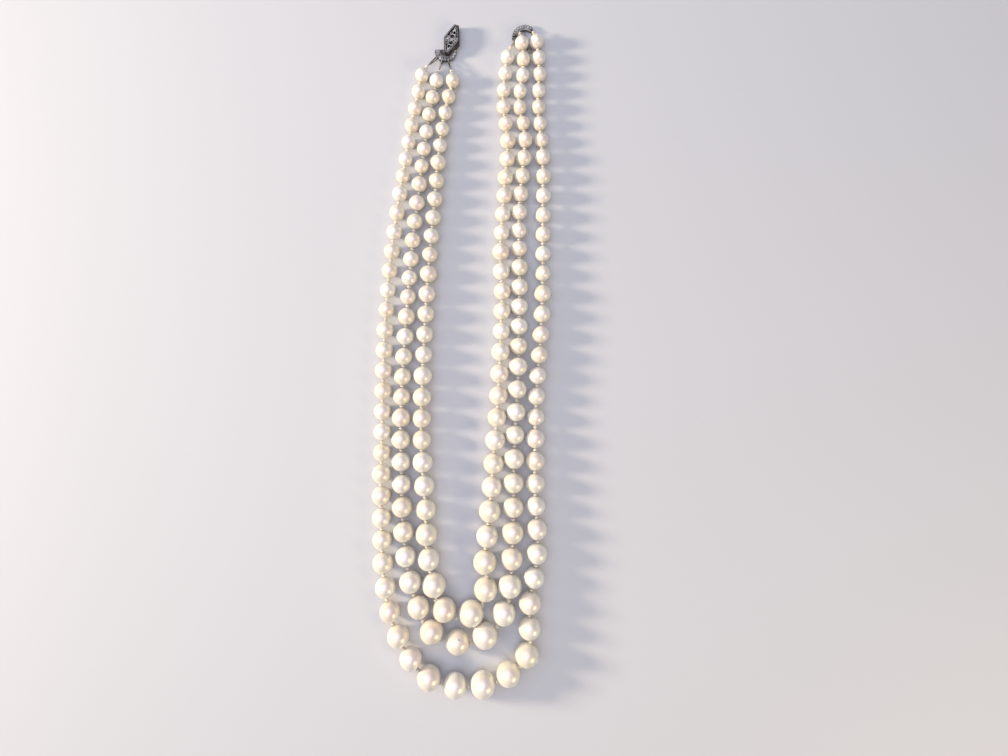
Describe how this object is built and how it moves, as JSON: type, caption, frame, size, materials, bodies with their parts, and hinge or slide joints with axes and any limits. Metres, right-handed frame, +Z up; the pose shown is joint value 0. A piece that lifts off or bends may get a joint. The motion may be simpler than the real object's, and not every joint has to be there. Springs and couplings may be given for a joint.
{
  "type": "multi strand necklace",
  "caption": "Multi strand necklace of graduated round pearls knotted on silk, with a pierced lozenge box clasp and a hook, lying open on a flat surface.",
  "frame": {"origin": "middle of the whole outline, on the flat surface that the necklace lies on", "axes": "+Z up from the surface, +Y from the largest pearls towards the clasp, +X to the right seen from above with the clasp at the far side"},
  "size_m": [0.0616, 0.232, 0.0085],
  "materials": {
    "nacre": "cream pearl nacre with a soft satin lustre",
    "silk": "twisted cream silk",
    "oxidised_silver": "dark oxidised silver, worn bright on the high lines",
    "coiled_wire": "coiled silver wire, partly dull"
  },
  "bodies": {
    "root": {"clasp_box": "oxidised_silver", "hook_bar": "oxidised_silver", "outer_pearls": "nacre", "middle_pearls": "nacre", "inner_pearls": "nacre", "outer_thread": "silk", "middle_thread": "silk", "inner_thread": "silk", "outer_clasp_loop": "coiled_wire", "middle_clasp_loop": "coiled_wire", "inner_clasp_loop": "coiled_wire", "outer_hook_loop": "coiled_wire", "middle_hook_loop": "coiled_wire", "inner_hook_loop": "coiled_wire"}
  },
  "joints": []
}
